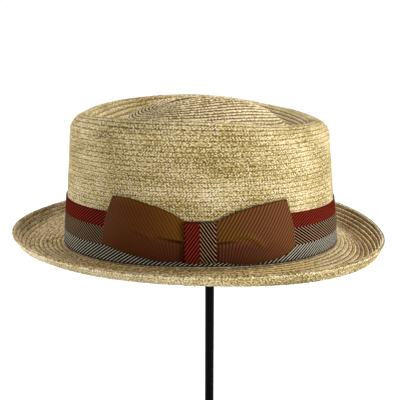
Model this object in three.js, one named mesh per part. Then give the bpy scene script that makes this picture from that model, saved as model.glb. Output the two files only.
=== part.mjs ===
// A pork pie hat of sewn straw braid on a plain rod stand.
// Millimetres, +Z up. +X is the back of the hat, -X the front, and -Y its left side, where the bow is.
// The origin is the middle of the whole footprint, on the surface that the stand's base rests on.
import * as THREE from 'three';

// ---------------------------------------------------------------- driving sizes
const RUNNING_GAP = 0.3;          // left between pieces that touch
const STRAW_WALL = 1.8;           // sewn braid, two plies where the rows lap

// Height of the hat's own datum, the mean level of its headline, above the stand's foot.
const HEADLINE_HEIGHT = 228;
// The front of the brim reaches further than the back, so the crown stands a little behind the middle.
const CROWN_X = 2;

// Outside of the crown: the headline oval, and the smaller oval where the wall turns over at the shoulder.
const HEADLINE = { halfLength: 102.2, halfWidth: 86.9 };
const SHOULDER = { halfLength: 94.8, halfWidth: 82.2, shift: -0.7, radius: 10.9 };

// The raised middle of the tip, an oval mound inside a sunk ring. It is full along the hat and falls away
// sooner to either side of a soft ridge, like a low hipped roof.
const DOME = {
  halfLength: 65.4, halfWidth: 56.9, x: 1.1, turn: -3.9, top: 104.2, foot: 81.3,
  alongPower: 2.7, sidePower: 1.3, ridge: 0.18,
};

// Round the hat, from the back (0 degrees) over either side (90) to the front (180). Heights are above the datum:
// root is the headline, crest the top of the rim. Reach, dip and edge are the brim's width, the sag of its
// trough and the height of its turned-up edge, both from the root.
const ROUND = [
  { at: 0, root: -1.7, crest: 87.8, reach: 33.0, dip: -7.3, edge: 5.7 },
  { at: 45, root: 0.0, crest: 91.0, reach: 37.4, dip: -3.0, edge: 7.6 },
  { at: 90, root: 2.5, crest: 97.5, reach: 37.8, dip: 0.4, edge: 9.1 },
  { at: 135, root: -0.4, crest: 96.3, reach: 33.6, dip: 1.9, edge: 9.5 },
  { at: 180, root: -2.9, crest: 92.2, reach: 37.2, dip: -0.2, edge: 10.9 },
];
const ROUND_STEP = 45;
const TROUGH_AT = 0.7;            // where across the brim its trough lies
const CURL_POWER = 2.3;           // how late the edge turns up

// Ribbon round the crown.
const BAND = { foot: 1.0, top: 35.3, frontRise: 1.6, thickness: 1.0 };

// Bow on the left side. Each row is a cut across the wing, from the knot outwards: the angle from the hat's side
// (270 degrees) and the height above the headline of its lower and upper edge, and how far it puffs out.
const FRONT_WING = [
  { lowerAt: -6.3, lower: 4.6, upperAt: -6.3, upper: 32.6, puff: 3.2 },
  { lowerAt: -14.5, lower: 5.6, upperAt: -13.0, upper: 39.2, puff: 5.6 },
  { lowerAt: -23.5, lower: 8.4, upperAt: -21.0, upper: 43.6, puff: 6.6 },
  { lowerAt: -32.0, lower: 11.4, upperAt: -28.0, upper: 46.6, puff: 5.8 },
  { lowerAt: -39.0, lower: 13.9, upperAt: -34.2, upper: 47.3, puff: 4.0 },
];
const BACK_WING = [
  { lowerAt: 5.9, lower: 4.8, upperAt: 5.9, upper: 32.0, puff: 3.2 },
  { lowerAt: 15.0, lower: 3.4, upperAt: 13.5, upper: 38.0, puff: 5.8 },
  { lowerAt: 24.0, lower: 4.6, upperAt: 21.5, upper: 41.6, puff: 6.8 },
  { lowerAt: 31.5, lower: 7.2, upperAt: 28.5, upper: 43.7, puff: 5.8 },
  { lowerAt: 36.7, lower: 11.4, upperAt: 33.7, upper: 44.6, puff: 4.0 },
];
const KNOT = { at: -0.2, halfAngle: 5.8, foot: 4.6, top: 32.5, puff: 6.4 };

// Stand: a round foot, a slim rod and a small domed rest under the tip.
const STAND_X = CROWN_X + 6.9;
const FOOT = { radius: 80, thickness: 5, bevel: 1, hubRadius: 9, hubHeight: 13, socketFloor: 3 };
const ROD_RADIUS = 3.5;
const REST = { radius: 32, thickness: 4, edge: 1.2, hubRadius: 8, hubDrop: 14, socketDepth: 10 };

// Facets.
const STEPS_ROUND = 48;
const REST_STEPS_ROUND = 32;
const DOME_RINGS = 8;
const RIM_SLOPE_RINGS = 4;
const SHOULDER_RINGS = 4;
const WALL_RINGS = 3;
const BRIM_LEVELS = [0.08, 0.22, 0.4, 0.58, 0.72, 0.83, 0.92, 1];

const RIGHT_ANGLE = Math.PI / 2;
const SIDE = 270;                 // the left side, in degrees round the hat

// ---------------------------------------------------------------- the hat's surface
const lerp = THREE.MathUtils.lerp;
const radians = THREE.MathUtils.degToRad;
const smooth = (t) => t * t * (3 - 2 * t);

// One column of the table round the hat, by a smooth curve through its rows.
function around(column, degrees) {
  const turned = ((degrees % 360) + 360) % 360;
  const folded = turned > 180 ? 360 - turned : turned;
  const last = ROUND.length - 1;
  const i = Math.min(Math.floor(folded / ROUND_STEP), last - 1);
  const t = folded / ROUND_STEP - i;
  const value = (k) => ROUND[k < 0 ? -k : k > last ? 2 * last - k : k][column];
  const [a, b, c, d] = [value(i - 1), value(i), value(i + 1), value(i + 2)];
  const bend = (2 * a - 5 * b + 4 * c - d) * t * t + (3 * b - a - 3 * c + d) * t * t * t;
  return 0.5 * (2 * b + (c - a) * t + bend);
}

// A point on an oval, moved out along its normal.
function ovalPoint(halfLength, halfWidth, shift, degrees, out) {
  const c = Math.cos(radians(degrees));
  const s = Math.sin(radians(degrees));
  const normal = new THREE.Vector2(c / halfLength, s / halfWidth).normalize();
  return new THREE.Vector2(halfLength * c + shift, halfWidth * s).addScaledVector(normal, out);
}

// The crown's straight wall, at a height above the headline and a distance out from the straw.
function wallPoint(degrees, aboveRoot, out) {
  const root = around('root', degrees);
  const k = aboveRoot / (around('crest', degrees) - SHOULDER.radius - root);
  const halfLength = lerp(HEADLINE.halfLength, SHOULDER.halfLength, k);
  const halfWidth = lerp(HEADLINE.halfWidth, SHOULDER.halfWidth, k);
  const p = ovalPoint(halfLength, halfWidth, SHOULDER.shift * k, degrees, out);
  return new THREE.Vector3(p.x, p.y, root + aboveRoot);
}

// How far down the mound a place is, from its ridge (0) to its foot (1). Along and aside are shares of its size.
function domeFall(along, aside) {
  const side = Math.hypot(aside, DOME.ridge) ** DOME.sidePower - DOME.ridge ** DOME.sidePower;
  return Math.abs(along) ** DOME.alongPower + side;
}

function domePoint(degrees, rho) {
  const along = rho * Math.cos(radians(degrees));
  const aside = rho * Math.sin(radians(degrees));
  const flat = new THREE.Vector2(DOME.halfLength * along, DOME.halfWidth * aside);
  flat.rotateAround(new THREE.Vector2(0, 0), radians(DOME.turn));
  return new THREE.Vector3(flat.x + DOME.x, flat.y, lerp(DOME.top, DOME.foot, domeFall(along, aside)));
}

// Height of the dome over any point of the tip.
function domeHeight(x, y) {
  const flat = new THREE.Vector2(x - DOME.x, y).rotateAround(new THREE.Vector2(0, 0), -radians(DOME.turn));
  return lerp(DOME.top, DOME.foot, domeFall(flat.x / DOME.halfLength, flat.y / DOME.halfWidth));
}

function shoulderPoint(degrees, turned) {
  const inward = SHOULDER.radius * (1 - Math.cos(turned));
  const p = ovalPoint(SHOULDER.halfLength, SHOULDER.halfWidth, SHOULDER.shift, degrees, -inward);
  const height = around('crest', degrees) - SHOULDER.radius * (1 - Math.sin(turned));
  return new THREE.Vector3(p.x, p.y, height);
}

function brimPoint(degrees, across) {
  const out = around('reach', degrees) * across;
  const p = ovalPoint(HEADLINE.halfLength, HEADLINE.halfWidth, 0, degrees, out);
  const dip = around('dip', degrees);
  const sag = dip * smooth(Math.min(across / TROUGH_AT, 1));
  const curl = Math.max((across - TROUGH_AT) / (1 - TROUGH_AT), 0) ** CURL_POWER;
  const height = around('root', degrees) + sag + (around('edge', degrees) - dip) * curl;
  return new THREE.Vector3(p.x, p.y, height);
}

// The outside of the straw at one place round the hat, from near the middle of the tip to the brim's edge.
function strawMeridian(degrees) {
  const points = [];
  for (let i = 1; i <= DOME_RINGS; i += 1) points.push(domePoint(degrees, i / DOME_RINGS));
  const foot = domePoint(degrees, 1);
  const crest = shoulderPoint(degrees, RIGHT_ANGLE);
  for (let i = 1; i <= RIM_SLOPE_RINGS; i += 1) {
    const t = i / RIM_SLOPE_RINGS;
    const p = foot.clone().lerp(crest, t);
    p.z = lerp(foot.z, crest.z, smooth(t));
    points.push(p);
  }
  for (let i = 1; i <= SHOULDER_RINGS; i += 1) {
    points.push(shoulderPoint(degrees, RIGHT_ANGLE * (1 - i / SHOULDER_RINGS)));
  }
  const wallHeight = around('crest', degrees) - SHOULDER.radius - around('root', degrees);
  for (let i = 1; i <= WALL_RINGS; i += 1) {
    points.push(wallPoint(degrees, wallHeight * (1 - i / WALL_RINGS), 0));
  }
  for (const across of BRIM_LEVELS) points.push(brimPoint(degrees, across));
  return points;
}

// ---------------------------------------------------------------- solids from rings of points
// Each ring is a list of points, a single point is a pole. The rings run down from the first pole, anticlockwise
// seen from it. With closed set there are no poles and the last ring joins the first.
function loft(rings, closed = false) {
  const positions = [];
  const starts = [];
  for (const ring of rings) {
    starts.push(positions.length / 3);
    for (const p of ring) positions.push(p.x, p.y, p.z);
  }
  const index = [];
  const bands = closed ? rings.length : rings.length - 1;
  for (let i = 0; i < bands; i += 1) {
    const next = (i + 1) % rings.length;
    const [upper, lower] = [rings[i], rings[next]];
    const count = Math.max(upper.length, lower.length);
    const up = (j) => starts[i] + (j % upper.length);
    const low = (j) => starts[next] + (j % lower.length);
    for (let j = 0; j < count; j += 1) {
      if (lower.length > 1) index.push(up(j), low(j), low(j + 1));
      if (upper.length > 1) index.push(up(j), low(j + 1), up(j + 1));
    }
  }
  const geometry = new THREE.BufferGeometry();
  geometry.setAttribute('position', new THREE.Float32BufferAttribute(positions, 3));
  geometry.setIndex(index);
  geometry.computeVertexNormals();
  return geometry;
}

const everyStep = (steps, make) => Array.from({ length: steps }, (_, j) => make((360 * j) / steps));

function strawGeometry() {
  const meridians = everyStep(STEPS_ROUND, strawMeridian);
  const ringCount = meridians[0].length;
  const outer = Array.from({ length: ringCount }, (_, i) => meridians.map((m) => m[i]));
  const middle = domePoint(0, 0);
  // the inside is the outside moved in by the wall, along normals taken from the neighbouring points
  const inner = outer.map((ring, i) => ring.map((p, j) => {
    const above = i > 0 ? outer[i - 1][j] : middle;
    const below = outer[Math.min(i + 1, ringCount - 1)][j];
    const before = ring[(j + STEPS_ROUND - 1) % STEPS_ROUND];
    const after = ring[(j + 1) % STEPS_ROUND];
    const down = below.clone().sub(above);
    const normal = down.cross(after.clone().sub(before)).normalize();
    return p.clone().addScaledVector(normal, -STRAW_WALL);
  }));
  const innerMiddle = middle.clone();
  innerMiddle.z -= STRAW_WALL;
  return loft([[middle], ...outer, ...inner.reverse(), [innerMiddle]]);
}

function bandGeometry() {
  const top = (a) => BAND.top - BAND.frontRise * Math.cos(radians(a)) * Math.abs(Math.cos(radians(a)));
  const outerFace = RUNNING_GAP + BAND.thickness;
  return loft([
    everyStep(STEPS_ROUND, (a) => wallPoint(a, top(a), outerFace)),
    everyStep(STEPS_ROUND, (a) => wallPoint(a, BAND.foot, outerFace)),
    everyStep(STEPS_ROUND, (a) => wallPoint(a, BAND.foot, RUNNING_GAP)),
    everyStep(STEPS_ROUND, (a) => wallPoint(a, top(a), RUNNING_GAP)),
  ], true);
}

const BOW_BACK = RUNNING_GAP + BAND.thickness + RUNNING_GAP;
const middleOf = (ring) => ring.reduce((sum, p) => sum.add(p), new THREE.Vector3()).divideScalar(ring.length);

// Across a wing, from its lower edge (0) to its upper edge (1): the share of the puff at each place.
const WING_SWELL = [
  { across: 0, share: 0.45 },
  { across: 0.12, share: 0.8 },
  { across: 0.5, share: 1 },
  { across: 0.88, share: 0.8 },
  { across: 1, share: 0.45 },
];

// A wing's cuts, with one more halfway between each two rows so that its back keeps to the round of the crown.
function wingCuts(rows) {
  const halfway = (row, next) => Object.fromEntries(
    Object.keys(row).map((column) => [column, (row[column] + next[column]) / 2]),
  );
  return rows.flatMap((row, i) => (i + 1 < rows.length ? [row, halfway(row, rows[i + 1])] : [row]));
}

function wingGeometry(rows) {
  const at = (row, across, out) => wallPoint(
    SIDE + lerp(row.lowerAt, row.upperAt, across),
    lerp(row.lower, row.upper, across),
    BOW_BACK + out,
  );
  const sections = wingCuts(rows).map((row) => [
    ...WING_SWELL.map((w) => at(row, w.across, row.puff * w.share)),
    ...WING_SWELL.toReversed().map((w) => at(row, w.across, 0)),
  ]);
  // seen from the knot the front wing's sections run clockwise, so they are turned round
  const rings = rows[0].lowerAt < 0 ? sections.map((s) => s.toReversed()) : sections;
  return loft([[middleOf(rings[0])], ...rings, [middleOf(rings[rings.length - 1])]]);
}

// The knot is a padded loop: full across its middle, rounded at its sides.
const KNOT_SWELL = [
  { side: 0.5, share: 0 },
  { side: 0, share: 0 },
  { side: -0.5, share: 0 },
  { side: -1, share: 0 },
  { side: -1, share: 0.6 },
  { side: -0.75, share: 0.92 },
  { side: 0, share: 1 },
  { side: 0.75, share: 0.92 },
  { side: 1, share: 0.6 },
  { side: 1, share: 0 },
];
const KNOT_LEVELS = [
  { level: 1, share: 0.75 },
  { level: 0.93, share: 1 },
  { level: 0.07, share: 1 },
  { level: 0, share: 0.75 },
];

function knotGeometry() {
  const rings = KNOT_LEVELS.map(({ level, share }) => KNOT_SWELL.map((w) => wallPoint(
    SIDE + KNOT.at + w.side * KNOT.halfAngle,
    lerp(KNOT.foot, KNOT.top, level),
    BOW_BACK + KNOT.puff * w.share * share,
  )));
  return loft([[middleOf(rings[0])], ...rings, [middleOf(rings[rings.length - 1])]]);
}

// ---------------------------------------------------------------- the stand
const SOCKET_RADIUS = ROD_RADIUS + RUNNING_GAP;
const HUB_BEVEL = 1;

function footGeometry() {
  const top = FOOT.thickness;
  const hubTop = top + FOOT.hubHeight;
  const profile = [
    [0, 0],
    [FOOT.radius - FOOT.bevel, 0],
    [FOOT.radius, FOOT.bevel],
    [FOOT.radius, top - FOOT.bevel],
    [FOOT.radius - FOOT.bevel, top],
    [FOOT.hubRadius, top],
    [FOOT.hubRadius, hubTop - HUB_BEVEL],
    [FOOT.hubRadius - HUB_BEVEL, hubTop],
    [SOCKET_RADIUS, hubTop],
    [SOCKET_RADIUS, FOOT.socketFloor],
    [0, FOOT.socketFloor],
  ].map(([r, h]) => new THREE.Vector2(r, h));
  return new THREE.LatheGeometry(profile, STEPS_ROUND).rotateX(RIGHT_ANGLE);
}

// The rest's top follows the hollow under the dome, so the hat sits on it without a print.
const REST_HUGS = STRAW_WALL * 1.12 + 0.35;
const restTop = (x, y) => HEADLINE_HEIGHT + domeHeight(x - CROWN_X, y) - REST_HUGS;
const REST_HUB_FOOT = restTop(STAND_X, 0) - REST.thickness - REST.hubDrop;
const ROD_TOP = REST_HUB_FOOT + REST.socketDepth - RUNNING_GAP;

function restGeometry() {
  const ring = (radius, heightAt) => everyStep(REST_STEPS_ROUND, (a) => {
    const x = STAND_X + radius * Math.cos(radians(a));
    const y = radius * Math.sin(radians(a));
    return new THREE.Vector3(x, y, heightAt(x, y));
  });
  const below = (drop) => (x, y) => restTop(x, y) - drop;
  const level = (height) => () => height;
  const topRadii = [0.25, 0.5, 0.75, 1].map((share) => share * (REST.radius - REST.edge));
  return loft([
    [new THREE.Vector3(STAND_X, 0, restTop(STAND_X, 0))],
    ...topRadii.map((r) => ring(r, below(0))),
    ring(REST.radius, below(REST.edge)),
    ring(REST.radius, below(REST.thickness - REST.edge)),
    ring(REST.radius - REST.edge, below(REST.thickness)),
    ring(REST.radius / 2, below(REST.thickness)),
    ring(REST.hubRadius, below(REST.thickness)),
    ring(REST.hubRadius, level(REST_HUB_FOOT)),
    ring(SOCKET_RADIUS, level(REST_HUB_FOOT)),
    ring(SOCKET_RADIUS, level(REST_HUB_FOOT + REST.socketDepth)),
    [new THREE.Vector3(STAND_X, 0, REST_HUB_FOOT + REST.socketDepth)],
  ]);
}

function rodGeometry() {
  const foot = FOOT.socketFloor + RUNNING_GAP;
  const length = ROD_TOP - foot;
  const rod = new THREE.CylinderGeometry(ROD_RADIUS, ROD_RADIUS, length, REST_STEPS_ROUND / 2);
  return rod.rotateX(RIGHT_ANGLE).translate(0, 0, foot + length / 2);
}

// ---------------------------------------------------------------- the object
const straw = { color: 0xcdb887, roughness: 0.75, metalness: 0 };
const stripedRibbon = { color: 0x5a3a35, roughness: 0.8, metalness: 0 };
const grosgrain = { color: 0x7b5330, roughness: 0.7, metalness: 0 };
const blackSteel = { color: 0x0c0c0c, roughness: 0.5, metalness: 0 };

function piece(name, geometry, finish) {
  const mesh = new THREE.Mesh(geometry, new THREE.MeshStandardMaterial(finish));
  mesh.name = name;
  return mesh;
}

const hat = new THREE.Group();
hat.position.set(CROWN_X, 0, HEADLINE_HEIGHT);
hat.add(
  piece('straw_body', strawGeometry(), straw),
  piece('hat_band', bandGeometry(), stripedRibbon),
  piece('bow_front_wing', wingGeometry(FRONT_WING), grosgrain),
  piece('bow_back_wing', wingGeometry(BACK_WING), grosgrain),
  piece('bow_knot', knotGeometry(), stripedRibbon),
);

const foot = piece('stand_foot', footGeometry(), blackSteel);
const rod = piece('stand_rod', rodGeometry(), blackSteel);
foot.position.x = STAND_X;
rod.position.x = STAND_X;

const model = new THREE.Group();
model.add(hat, foot, rod, piece('stand_rest', restGeometry(), blackSteel));

export default model;
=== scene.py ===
import math

import bpy
import numpy as np
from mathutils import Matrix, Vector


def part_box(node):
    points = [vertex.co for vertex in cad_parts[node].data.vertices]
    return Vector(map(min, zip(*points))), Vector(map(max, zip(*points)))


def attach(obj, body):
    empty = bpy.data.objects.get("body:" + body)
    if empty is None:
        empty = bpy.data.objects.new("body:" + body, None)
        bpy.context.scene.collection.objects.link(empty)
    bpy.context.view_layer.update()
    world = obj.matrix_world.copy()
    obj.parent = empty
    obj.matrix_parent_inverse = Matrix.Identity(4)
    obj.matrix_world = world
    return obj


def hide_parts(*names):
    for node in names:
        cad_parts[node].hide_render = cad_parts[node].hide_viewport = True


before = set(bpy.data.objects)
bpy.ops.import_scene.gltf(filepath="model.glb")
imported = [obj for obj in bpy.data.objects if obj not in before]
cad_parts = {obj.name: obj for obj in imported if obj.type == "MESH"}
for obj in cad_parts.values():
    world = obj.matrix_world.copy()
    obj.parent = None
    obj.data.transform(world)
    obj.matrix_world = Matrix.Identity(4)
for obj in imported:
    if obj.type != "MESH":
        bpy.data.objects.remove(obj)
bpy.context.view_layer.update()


# ---------------------------------------------------------------- Viewpoint, table and light
# The hat is seen from its left side, a little above the brim, with a long portrait lens.
# Table and backdrop are one matt white sweep. Low soft boxes stand on both sides, the stronger on the right,
# with weak ones in front and one behind that picks out the tip.
LENS = 68.7            # mm
LENS_AT = (0.0014, -0.5588, 0.3979)     # metres
TILT_DOWN = 14.41      # degrees
TABLE_HALF = 60        # metres, so that its edge is never seen
LAMP_WIDTH = 0.7       # metres
LAMP_AWAY = 1.6        # from the middle of the hat
HAT_LEVEL = 0.28       # height of the hat's middle above the table
SOFT_BOXES = {
    # name: (degrees to the right of the lens, degrees up, watts)
    "low_right": (50, 6, 30.5),
    "side_right": (98, 26, 37.0),
    "low_left": (-110, 7, 36.0),
    "front_left": (-32, 26, 10.5),
    "front_low": (0, 4, 3.0),
    "hair_light": (180, 55, 23.0),
}


def linear(hex_colour):
    """An sRGB hex colour as linear red, green and blue, with full cover."""
    parts = [int(hex_colour[i:i + 2], 16) / 255 for i in (0, 2, 4)]
    return [c / 12.92 if c <= 0.04045 else ((c + 0.055) / 1.055) ** 2.4 for c in parts] + [1.0]


def node(tree, kind, inputs=(), **settings):
    """Adds a node of this kind, or takes one that is there, sets it up, and links or fills its inputs.

    Inputs come in order from the first, or by number or name. A node stands for its first output in use.
    """
    new = kind if isinstance(kind, bpy.types.Node) else tree.nodes.new("ShaderNode" + kind)
    for setting, value in settings.items():
        setattr(new, setting, value)
    for place, value in inputs.items() if isinstance(inputs, dict) else enumerate(inputs):
        if isinstance(value, bpy.types.Node):
            value = next(output for output in value.outputs if output.enabled)
        if isinstance(value, bpy.types.NodeSocket):
            tree.links.new(value, new.inputs[place])
        else:
            new.inputs[place].default_value = value
    return new


def new_finish(name):
    """A new material, with its tree and its shader."""
    material = bpy.data.materials.new(name)
    material.use_nodes = True
    return material, material.node_tree, material.node_tree.nodes["Principled BSDF"]


camera_data = bpy.data.cameras.new("portrait_lens")
camera_data.lens = LENS
camera_data.sensor_width = 36
camera = bpy.data.objects.new("portrait_lens", camera_data)
camera.location = LENS_AT
camera.rotation_euler = (math.radians(90 - TILT_DOWN), 0, 0)
bpy.context.scene.collection.objects.link(camera)
bpy.context.scene.camera = camera
bpy.context.scene.view_settings.view_transform = "Standard"

# lit through from below, as a sweep in a product studio is, so that it shows pure white, and greyer than it
# looks, so that it throws little of the lamps' light back up
matt_white, tree, shader = new_finish("matt_white_sweep")
node(tree, shader, {"Base Color": linear("6B6B6B"), "Roughness": 0.9, "Specular IOR Level": 0.1,
                    "Emission Color": linear("FFFFFF"), "Emission Strength": 1.0})
table_mesh = bpy.data.meshes.new("white_table")
table_corners = [(x * TABLE_HALF, y * TABLE_HALF, 0) for x, y in ((-1, -1), (1, -1), (1, 1), (-1, 1))]
table_mesh.from_pydata(table_corners, [], [(0, 1, 2, 3)])
table_mesh.materials.append(matt_white)
table = bpy.data.objects.new("white_table", table_mesh)
bpy.context.scene.collection.objects.link(table)

for name, (sideways, up, watts) in SOFT_BOXES.items():
    light = bpy.data.lights.new(name, "AREA")
    light.shape = "SQUARE"
    light.size = LAMP_WIDTH
    light.energy = watts
    lamp = bpy.data.objects.new(name, light)
    level = LAMP_AWAY * math.cos(math.radians(up))
    lamp.location = (
        level * math.sin(math.radians(sideways)),
        -level * math.cos(math.radians(sideways)),
        HAT_LEVEL + LAMP_AWAY * math.sin(math.radians(up)),
    )
    lamp.rotation_euler = (math.radians(90 - up), 0, math.radians(sideways))
    bpy.context.scene.collection.objects.link(lamp)

# white walls to look at, with little light of their own
world = bpy.data.worlds.new("white_studio")
world.use_nodes = True
studio = world.node_tree
seen = node(studio, "LightPath").outputs["Is Camera Ray"]
strength = node(studio, "MapRange", (seen, 0.0, 1.0, 0.12, 1.02))
node(studio, studio.nodes["Background"], {"Color": linear("FFFFFF"), "Strength": strength})
bpy.context.scene.world = world


# ---------------------------------------------------------------- Straw hood: crown and brim
# One long braid of split wheat straw, sewn round and round in lapped rows from the middle of the tip
# to the brim's edge, then blocked over a wooden form: a raised tip in a sunk ring, a straight wall,
# and a narrow brim with a trough and a turned-up edge. Sizes in millimetres from the hat's own headline.
HEADLINE = (102.2, 86.9)        # half length and half width
SHOULDER = (94.8, 82.2)         # the same, where the wall meets the crown's rounded rim
SHOULDER_SHIFT = -0.7
SHOULDER_RADIUS = 10.9
DOME = (65.4, 56.9)             # and those of the mound's foot on the tip
DOME_X = 1.1
DOME_TURN = math.radians(-3.9)
DOME_TOP = 104.2
DOME_FOOT = 81.3
DOME_ALONG = 2.7                # how full the mound is along the hat, and to either side of its soft ridge
DOME_ASIDE = 1.3
DOME_RIDGE = 0.18
CENTRE_FOLD = 32.0              # half the length of the braid's straight start, in the middle of the tip
CENTRE_TURN = math.radians(26)  # it lies askew, and the rows come round to the hat's own line further out
TROUGH_AT = 0.7                 # share of the brim from the headline to its trough
CURL_POWER = 2.3
ROUND_THE_HAT = {
    # every 45 degrees: back, back quarter, side, front quarter, front
    "root": (-1.7, 0.0, 2.5, -0.4, -2.9),
    "crest": (87.8, 91.0, 97.5, 96.3, 92.2),
    "reach": (33.0, 37.4, 37.8, 33.6, 37.2),
    "dip": (-7.3, -3.0, 0.4, 1.9, -0.2),
    "edge": (5.7, 7.6, 9.1, 9.5, 10.9),
}
ROD_BEHIND = 6.9                # how far the rod stands behind the middle of the headline
rod_low, rod_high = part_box("stand_rod")
# the middle of the headline in the frame, also in millimetres
HAT = np.array((
    (rod_low.x + rod_high.x) * 1000 / 2 - ROD_BEHIND,
    0.0,
    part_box("straw_body")[1].z * 1000 - DOME_TOP,
))


def curve(a, b, c, d, t):
    """A smooth curve from b to c, bent as their neighbours a and d ask."""
    bend = (2 * a - 5 * b + 4 * c - d) * t ** 2 + (3 * b - a - 3 * c + d) * t ** 3
    return 0.5 * (2 * b + (c - a) * t + bend)


def around(column, turn):
    """A column of the table at any turn round the hat, in radians, by a smooth curve through its rows."""
    place = np.abs((np.degrees(turn) + 180) % 360 - 180) / 45
    i = np.minimum(place.astype(int), 3)
    values = np.array(ROUND_THE_HAT[column])[[1, 0, 1, 2, 3, 4, 3]]
    return curve(*(values[i + k] for k in range(4)), place - i)


def smooth(t):
    """An eased step from 0 to 1."""
    return t * t * (3 - 2 * t)


def oval(half_length, half_width, shift, turn, out):
    """Plan of an oval moved out along its normal."""
    nx = np.cos(turn) / half_length
    ny = np.sin(turn) / half_width
    size = np.hypot(nx, ny)
    return half_length * np.cos(turn) + shift + out * nx / size, half_width * np.sin(turn) + out * ny / size


def wall_point(turn, above, out):
    """The crown's straight wall, at a height above the headline and a distance out from the straw."""
    root = around("root", turn)
    k = above / (around("crest", turn) - SHOULDER_RADIUS - root)
    half_length = HEADLINE[0] + (SHOULDER[0] - HEADLINE[0]) * k
    half_width = HEADLINE[1] + (SHOULDER[1] - HEADLINE[1]) * k
    x, y = oval(half_length, half_width, SHOULDER_SHIFT * k, turn, out)
    return np.stack((x, y, root + above), -1)


def tip_points(turn, share):
    """The raised middle of the tip, from its centre fold (share 0) to its foot (share 1)."""
    along = (CENTRE_FOLD + (DOME[0] - CENTRE_FOLD) * share) * np.cos(turn)
    aside = DOME[1] * share * np.sin(turn)
    askew = CENTRE_TURN * (1 - share) ** 0.8
    x = along * np.cos(askew) - aside * np.sin(askew)
    y = along * np.sin(askew) + aside * np.cos(askew)
    side_fall = np.hypot(y / DOME[1], DOME_RIDGE) ** DOME_ASIDE - DOME_RIDGE ** DOME_ASIDE
    z = DOME_TOP + (DOME_FOOT - DOME_TOP) * (np.abs(x / DOME[0]) ** DOME_ALONG + side_fall)
    c = math.cos(DOME_TURN)
    s = math.sin(DOME_TURN)
    return np.stack((c * x - s * y + DOME_X, s * x + c * y, z), -1)


def shoulder_points(turn, turned):
    """The crown's rounded rim, from the wall (turned 0) to its crest (a quarter turn)."""
    inward = SHOULDER_RADIUS * (1 - np.cos(turned))
    x, y = oval(*SHOULDER, SHOULDER_SHIFT, turn, -inward)
    return np.stack((x, y, around("crest", turn) - SHOULDER_RADIUS * (1 - np.sin(turned))), -1)


def brim_points(turn, across):
    """The brim, from the headline (across 0) through its trough to its turned-up edge (1)."""
    x, y = oval(*HEADLINE, 0, turn, around("reach", turn) * across)
    dip = around("dip", turn)
    sag = dip * smooth(np.minimum(across / TROUGH_AT, 1))
    curl = np.maximum((across - TROUGH_AT) / (1 - TROUGH_AT), 0) ** CURL_POWER
    return np.stack((x, y, around("root", turn) + sag + (around("edge", turn) - dip) * curl), -1)


# The braid's rows: each runs all round at the same count from the middle, and they crowd or spread a little
# where the block pulled the hood deeper.
TIP_ROWS = 16
CROWN_ROWS = 36
BRIM_ROWS = 13
HEADLINE_ROW = TIP_ROWS + CROWN_ROWS
EDGE_ROW = HEADLINE_ROW + BRIM_ROWS
PITCH = 3.14            # between rows on the wall at the hat's sides, and how much more at its two ends
PITCH_MORE = 0.14
EVEN_ROWS = 20          # the rows above the headline that keep this pitch, before they spread over the rim
TURNS = 1440            # the table's places round the hat
PER_ROW = 8             # and its places in each row


def hood_table():
    """Places on the hood at each turn and at each eighth of a row, and the outward normals there."""
    turn = np.arange(TURNS)[:, None] * (2 * math.pi / TURNS)
    # the hood's section in fine steps: mound, slope up to the crest, rounded rim, wall, and brim
    tip = tip_points(turn, np.linspace(0, 1, 48)[None, :])
    foot = tip[:, -1:, :]
    crest = shoulder_points(turn, np.full((1, 1), math.pi / 2))
    t = np.linspace(0, 1, 20)[None, :, None]
    slope = foot + (crest - foot) * t
    slope[..., 2] = (foot + (crest - foot) * smooth(t))[..., 2]
    shoulder = shoulder_points(turn, np.linspace(math.pi / 2, 0, 14)[None, 1:])
    wall_height = around("crest", turn) - SHOULDER_RADIUS - around("root", turn)
    wall = wall_point(turn, wall_height * np.linspace(1, 0, 12)[None, 1:], 0)
    crown = np.concatenate((slope, shoulder, wall), 1)
    brim = brim_points(turn, np.linspace(0, 1, 60)[None, :])

    def lengths(line):
        steps = np.linalg.norm(np.diff(line, axis=1), axis=2)
        return np.concatenate((np.zeros((TURNS, 1)), np.cumsum(steps, 1)), 1)

    parts = (tip, crown, brim)
    walked = [lengths(part) for part in parts]
    whole = [length[:, -1] for length in walked]
    # where the rows fall along each part, in millimetres walked from its beginning
    pitch = PITCH + PITCH_MORE * np.abs(np.cos(turn[:, 0]))
    spread = (whole[1] - CROWN_ROWS * pitch) / (CROWN_ROWS - EVEN_ROWS) ** 2
    tip_at = np.linspace(0, 1, TIP_ROWS * PER_ROW + 1)
    crown_up = np.arange(CROWN_ROWS * PER_ROW, -1, -1) / PER_ROW
    brim_at = np.linspace(0, 1, BRIM_ROWS * PER_ROW + 1)
    places = np.empty((TURNS, EDGE_ROW * PER_ROW + 1, 3))
    for i in range(TURNS):
        up = pitch[i] * crown_up + spread[i] * np.maximum(crown_up - EVEN_ROWS, 0) ** 2
        wanted = (tip_at[:-1] * whole[0][i], whole[1][i] - up[:-1], brim_at * whole[2][i])
        for k in range(3):
            places[i, :, k] = np.concatenate([
                np.interp(at, length[i], part[i, :, k]) for at, length, part in zip(wanted, walked, parts)
            ])
    outward_step = np.gradient(places, axis=1)
    round_step = np.roll(places, -1, 0) - np.roll(places, 1, 0)
    normals = np.cross(outward_step, round_step)
    normals[:, 0] = (0, 0, 1)
    normals /= np.linalg.norm(normals, axis=2, keepdims=True)
    return places, normals


PLACES, NORMALS = hood_table()


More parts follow.
